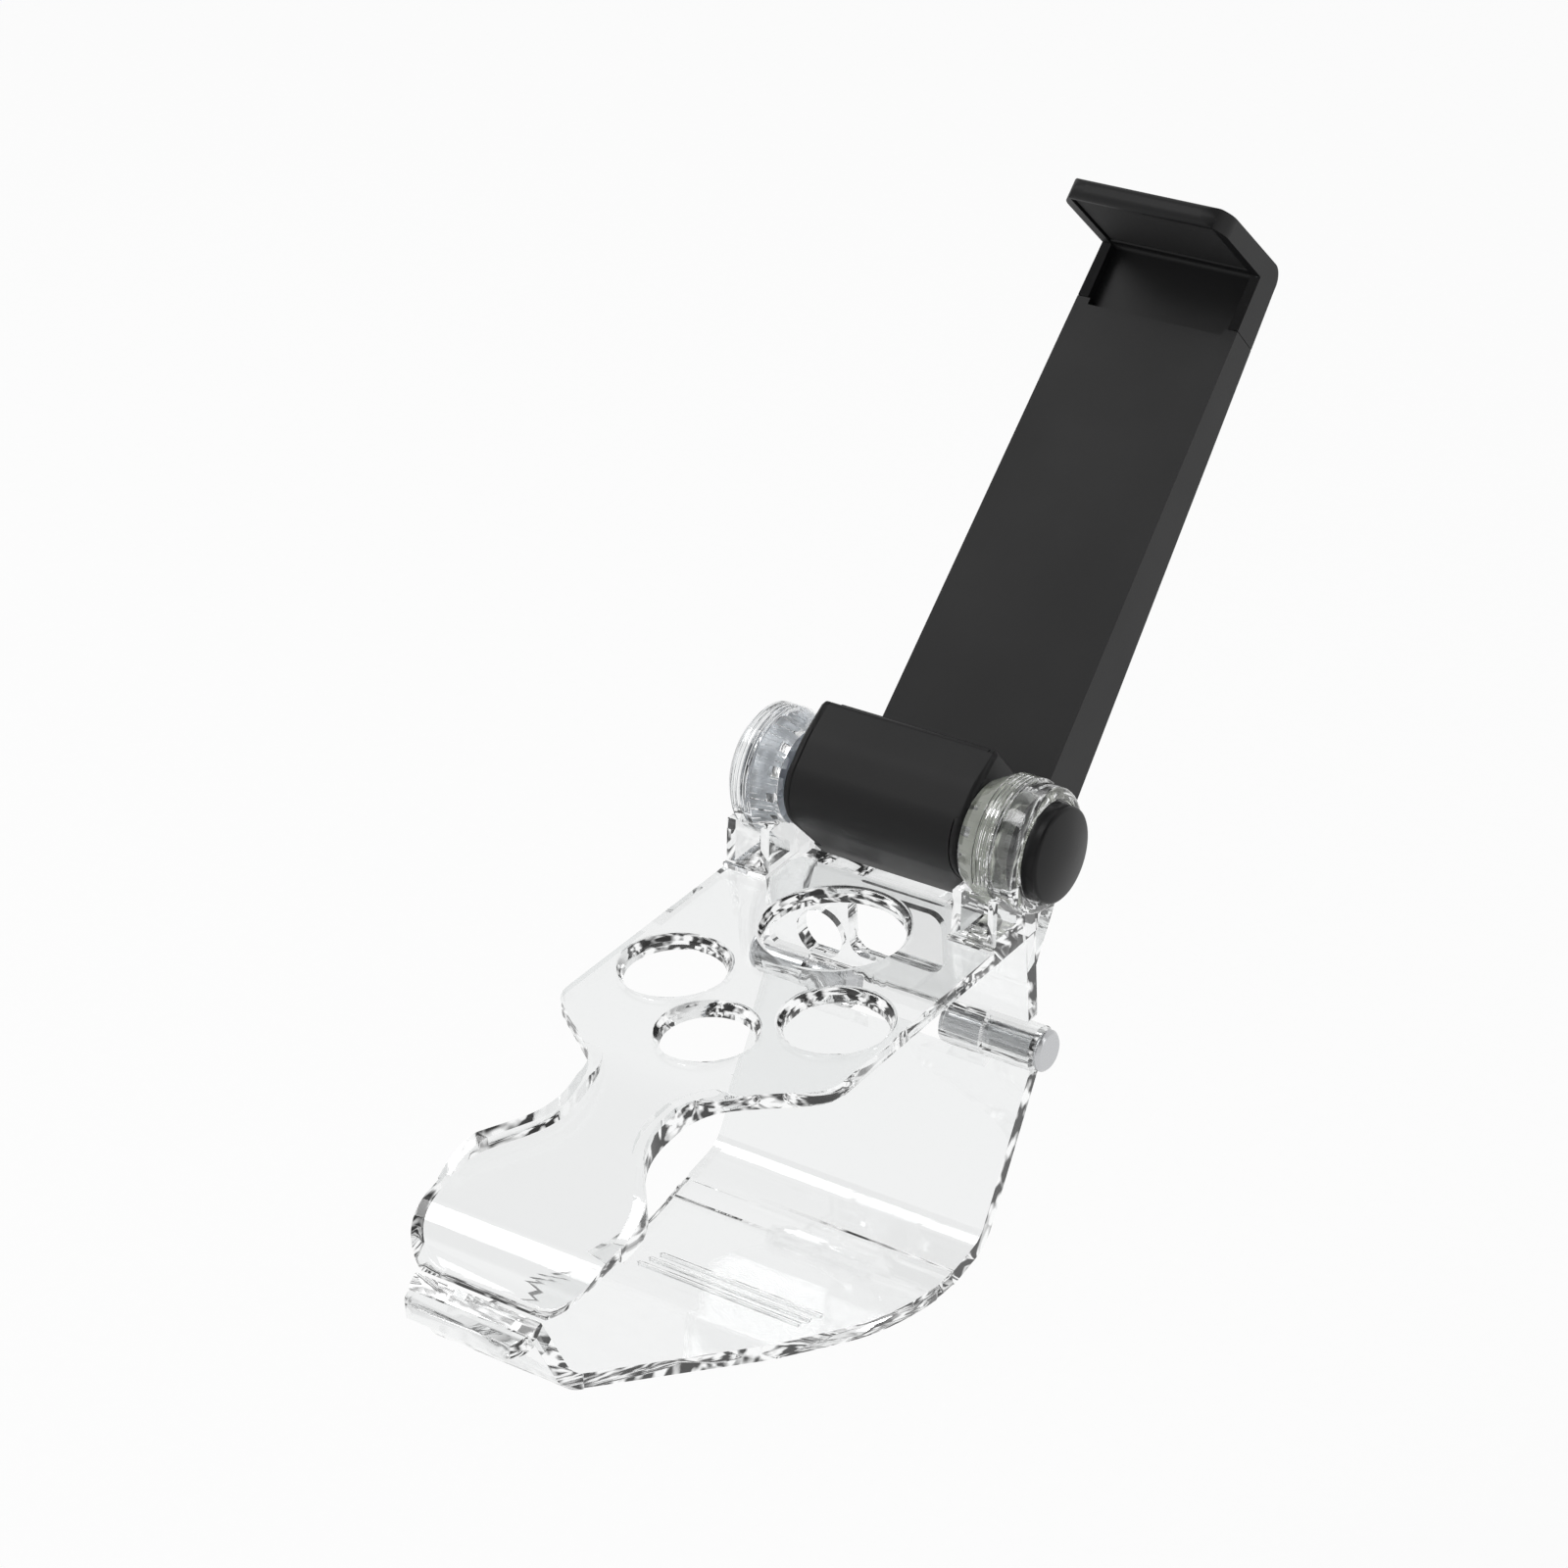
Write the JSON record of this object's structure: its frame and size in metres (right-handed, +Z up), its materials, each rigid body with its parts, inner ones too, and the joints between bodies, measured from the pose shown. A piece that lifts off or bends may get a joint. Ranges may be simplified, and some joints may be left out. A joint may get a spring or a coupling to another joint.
{
  "type": "controller phone clip",
  "caption": "Clear clip that hinges round a game controller and carries a phone in a black tilting holder with a spring-loaded sliding jaw.",
  "frame": {"origin": "on the underside of the clear front plate, where it lies on the controller, midway between the left and right button holes", "axes": "+X across the clip towards the push button, +Y towards the rear wall and phone holder, +Z up out of the front plate"},
  "size_m": [0.0464, 0.162, 0.1102],
  "materials": {
    "clear_polycarbonate": "clear, polished",
    "black_abs": "fine matt",
    "frosted_nylon": "translucent",
    "rubber_pad": "matt",
    "steel": "bright"
  },
  "bodies": {
    "clip": {"front_plate": "clear_polycarbonate", "shell_hinge_pin": "steel", "left_ratchet_ring": "frosted_nylon", "right_ratchet_ring": "frosted_nylon"},
    "shell": {"rear_shell": "clear_polycarbonate"},
    "holder": {"holder_frame": "black_abs", "arm_back_cover": "black_abs", "cover_screws": "steel", "spring_anchor_pin": "steel", "jaw_springs": "steel", "right_barrel_cap": "black_abs", "left_barrel_cap": "black_abs", "left_pivot_screw": "steel", "left_drag_washer": "frosted_nylon", "lower_jaw_pad": "rubber_pad", "button_spring": "steel"},
    "jaw": {"upper_jaw": "black_abs", "upper_jaw_pad": "rubber_pad"},
    "button": {"push_button": "black_abs", "lock_shaft": "steel", "lock_gear": "frosted_nylon"}
  },
  "joints": [
    {"name": "holder_tilt", "type": "hinge", "parent": "clip", "child": "holder", "pos_m": [0, 0.0307, 0.012], "axis": [1, 0, 0], "range_deg": [0, 134]},
    {"name": "jaw_slide", "type": "slide", "parent": "holder", "child": "jaw", "axis": [0, 0.7547, 0.6561], "range_m": [0, 0.025], "stiffness_N_per_m": 150, "springref_m": -0.01, "deforming": ["jaw_springs"]},
    {"name": "button_press", "type": "slide", "parent": "holder", "child": "button", "axis": [-1, 0, 0], "range_m": [0, 0.0016], "stiffness_N_per_m": 800, "springref_m": -0.0015, "deforming": ["button_spring"]},
    {"name": "shell_open", "type": "hinge", "parent": "clip", "child": "shell", "pos_m": [0, 0.0303, -0.0165], "axis": [1, 0, 0], "range_deg": [0, 75]}
  ]
}
